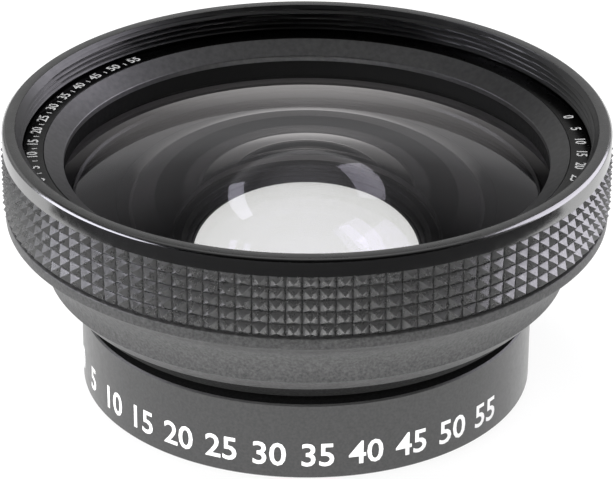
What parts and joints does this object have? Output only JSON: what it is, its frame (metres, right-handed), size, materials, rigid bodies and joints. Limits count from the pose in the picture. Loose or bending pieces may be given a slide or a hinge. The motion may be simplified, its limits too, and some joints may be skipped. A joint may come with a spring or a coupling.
{
  "type": "wide-angle conversion lens",
  "caption": "Round metal conversion lens with a wide threaded front, a ring of pyramids to grip, a funnel body and a straight rear sleeve with a male thread.",
  "frame": {"origin": "centre of the end face of the male mounting thread, where the part stands", "axes": "+Z along the optical axis, from the mounting thread towards the front glass"},
  "size_m": [0.0766, 0.0766, 0.0371],
  "materials": {
    "rim_metal": "glossy black anodised",
    "grip_metal": "diamond-cut, dark anodised",
    "barrel_metal": "blasted, black anodised",
    "trim_black": "flat black with white ticks and figures",
    "cone_metal": "satin black anodised",
    "inner_metal": "matt black anodised",
    "front_glass": "polished, coated",
    "inner_glass": "polished, coated",
    "seat_rubber": "matt black",
    "sleeve_metal": "satin black anodised with white ticks and figures",
    "screw_steel": "plain steel"
  },
  "bodies": {
    "root": {"front_rim": "rim_metal", "grip_ring": "grip_metal", "main_barrel": "barrel_metal", "name_ring": "trim_black", "cone_ring": "cone_metal", "front_retaining_ring": "inner_metal", "front_element": "front_glass", "front_seat_ring": "seat_rubber", "second_element": "inner_glass", "second_retaining_ring": "inner_metal", "rear_barrel": "sleeve_metal", "third_element": "inner_glass", "fourth_element": "inner_glass", "rear_retaining_ring": "inner_metal", "lock_screw_1": "screw_steel", "lock_screw_2": "screw_steel", "lock_screw_3": "screw_steel"}
  },
  "joints": []
}
